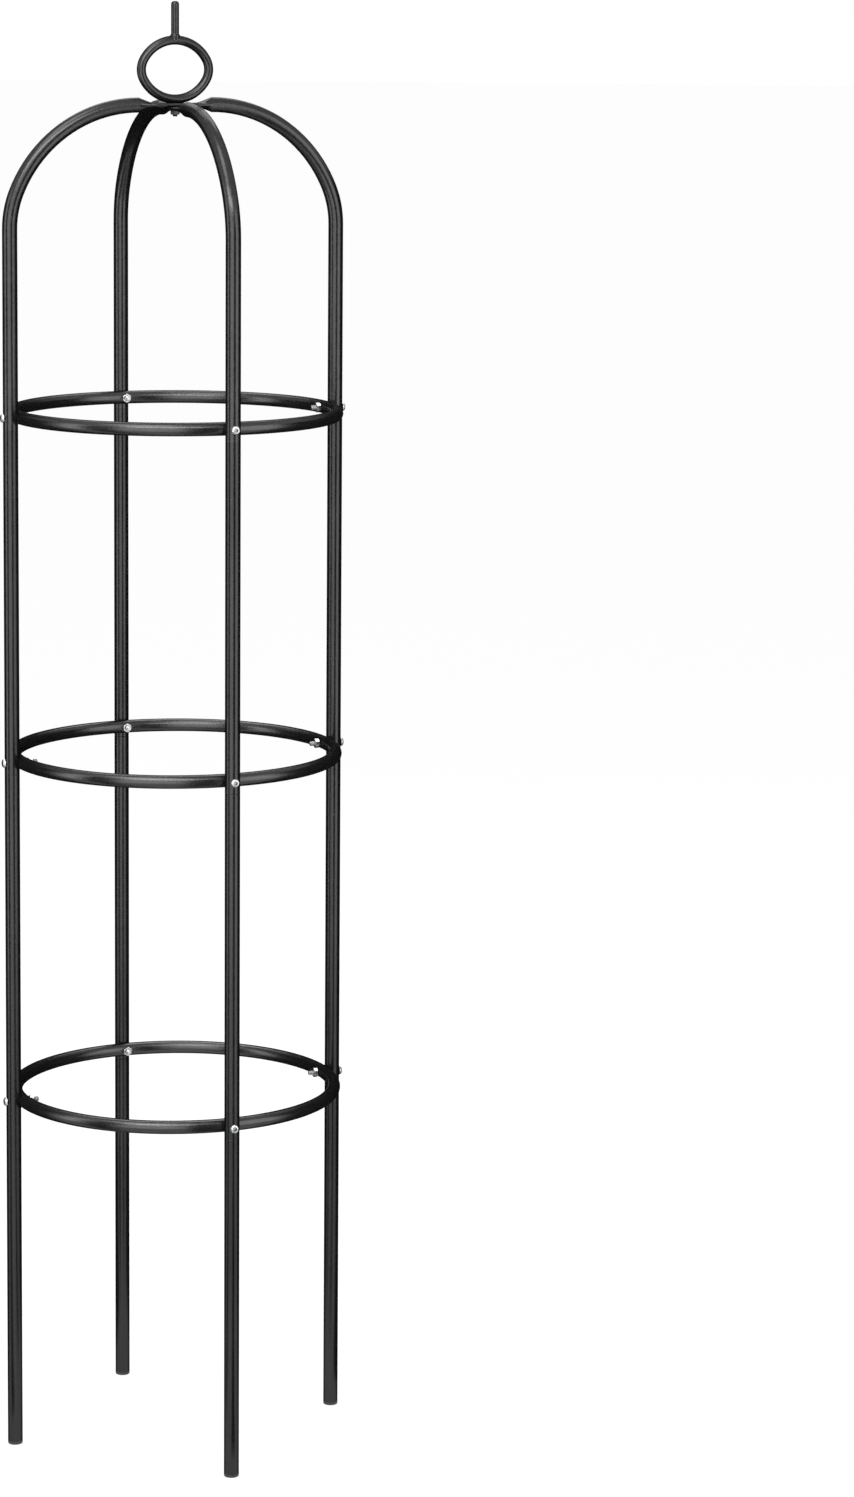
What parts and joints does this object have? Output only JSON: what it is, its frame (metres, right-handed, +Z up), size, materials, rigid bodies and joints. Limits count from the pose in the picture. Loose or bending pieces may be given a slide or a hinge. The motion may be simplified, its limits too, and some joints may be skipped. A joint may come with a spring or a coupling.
{
  "type": "garden obelisk",
  "caption": "Tall round garden obelisk of black coated tube, with hoop rings bolted inside four legs and a domed top that carries an oval finial.",
  "frame": {"origin": "on the ground, in the middle of the four feet", "axes": "+Z up along the obelisk; the legs stand on the X and Y axes, with the front leg at -Y; the oval of the finial lies in the XZ plane"},
  "size_m": [0.4366, 0.4366, 1.7494],
  "materials": {
    "coated_tube": "satin black plastic-coated steel tube",
    "coated_ring": "satin black coated steel tube",
    "coated_finial": "satin black coated steel rod",
    "black_plastic": "moulded matt black",
    "zinc": "bright zinc plate"
  },
  "bodies": {
    "root": {"arch_front_back": "coated_tube", "arch_left_right": "coated_tube", "finial_nut": "zinc", "finial_oval": "coated_finial", "finial_spike": "coated_finial", "finial_stud": "zinc", "foot_plug_back": "black_plastic", "foot_plug_front": "black_plastic", "foot_plug_left": "black_plastic", "foot_plug_right": "black_plastic", "leg_back_lower": "coated_tube", "leg_back_middle": "coated_tube", "leg_back_upper": "coated_tube", "leg_front_lower": "coated_tube", "leg_front_middle": "coated_tube", "leg_front_upper": "coated_tube", "leg_left_lower": "coated_tube", "leg_left_middle": "coated_tube", "leg_left_upper": "coated_tube", "leg_right_lower": "coated_tube", "leg_right_middle": "coated_tube", "leg_right_upper": "coated_tube", "nuts_lower_ring": "zinc", "nuts_middle_ring": "zinc", "nuts_upper_ring": "zinc", "ring_lower": "coated_ring", "ring_middle": "coated_ring", "ring_upper": "coated_ring", "screws_lower_ring": "zinc", "screws_middle_ring": "zinc", "screws_upper_ring": "zinc"}
  },
  "joints": []
}
